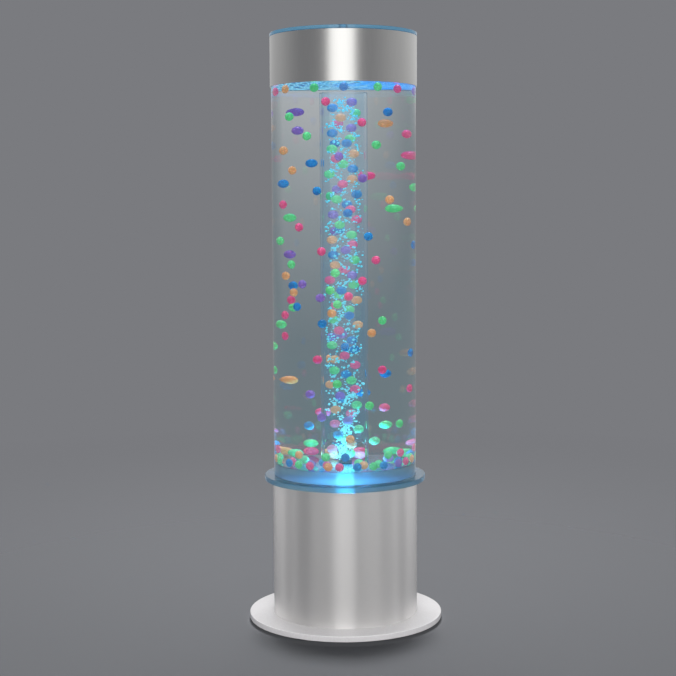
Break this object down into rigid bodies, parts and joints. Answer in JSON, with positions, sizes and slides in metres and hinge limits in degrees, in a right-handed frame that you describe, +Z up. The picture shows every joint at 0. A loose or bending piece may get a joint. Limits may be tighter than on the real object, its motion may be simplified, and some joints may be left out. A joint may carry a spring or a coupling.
{
  "type": "bubble tube floor lamp",
  "caption": "Free-standing lamp: a clear water tube with drifting balls and an inner lift tube on a lit metal base, under a metal cap.",
  "frame": {"origin": "middle of the surface that the rubber feet stand on", "axes": "+Z up along the tube, -Y to the front, +Y to the rear panel"},
  "size_m": [0.272, 0.272, 0.82],
  "materials": {
    "white_enamel": "gloss white stoved enamel",
    "black_rubber": "moulded black rubber",
    "satin_aluminium": "satin anodised sheet",
    "mill_aluminium": "plain turned aluminium",
    "turned_steel": "turned bright steel",
    "screw_steel": "zinc-plated steel",
    "clear_acrylic": "clear cast acrylic, polished",
    "water": "clear water",
    "ball_green": "glossy plastic ball",
    "ball_pink": "glossy plastic ball",
    "ball_blue": "glossy plastic ball",
    "ball_orange": "glossy plastic ball",
    "ball_purple": "glossy plastic ball",
    "polished_aluminium": "polished aluminium ring",
    "edge_lit_acrylic": "clear acrylic glowing blue at its edge",
    "dark_plastic": "moulded black plastic",
    "pump_casting": "painted die casting",
    "silicone_hose": "translucent silicone hose",
    "pale_plastic": "moulded pale plastic",
    "white_circuit_board": "white lacquered circuit board",
    "led_package": "light packages",
    "green_circuit_board": "green lacquered circuit board",
    "brass": "turned brass",
    "switch_red": "red moulded plastic",
    "wire_sheath": "sheathed wire"
  },
  "bodies": {
    "base": {"foot_plate": "white_enamel", "rubber_feet": "black_rubber", "base_housing": "satin_aluminium", "centring_ring": "mill_aluminium", "support_posts": "turned_steel", "support_plate": "mill_aluminium", "frame_screws": "screw_steel", "clear_floor": "clear_acrylic", "outer_tube": "clear_acrylic", "lift_tube": "clear_acrylic", "water": "water", "balls_green": "ball_green", "balls_pink": "ball_pink", "balls_blue": "ball_blue", "balls_orange": "ball_orange", "balls_purple": "ball_purple", "air_nozzle": "dark_plastic", "nozzle_seal": "black_rubber", "nozzle_washer": "screw_steel", "nozzle_nut": "dark_plastic", "pump_housing": "pump_casting", "pump_head": "dark_plastic", "pump_mounts": "black_rubber", "hose_lower": "silicone_hose", "check_valve": "pale_plastic", "hose_upper": "silicone_hose", "led_board": "white_circuit_board", "led_lights": "led_package", "led_screws": "screw_steel", "control_board": "green_circuit_board", "board_parts": "dark_plastic", "board_pillars": "brass", "board_screws": "screw_steel", "rear_panel": "dark_plastic", "power_inlet": "dark_plastic", "inlet_nut": "screw_steel", "switch_frame": "dark_plastic", "led_wire": "wire_sheath", "pump_wire": "wire_sheath", "inlet_wire": "wire_sheath"},
    "cap": {"cap_ring": "polished_aluminium", "cap_disc": "edge_lit_acrylic"},
    "rocker": {"switch_rocker": "switch_red"}
  },
  "joints": [
    {"name": "cap_lift", "type": "slide", "parent": "base", "child": "cap", "axis": [0, 0, 1], "range_m": [0, 0.08]},
    {"name": "rocker_press", "type": "hinge", "parent": "base", "child": "rocker", "pos_m": [0.01, 0.0965, 0.0455], "axis": [1, 0, 0], "range_deg": [0, 20]}
  ]
}
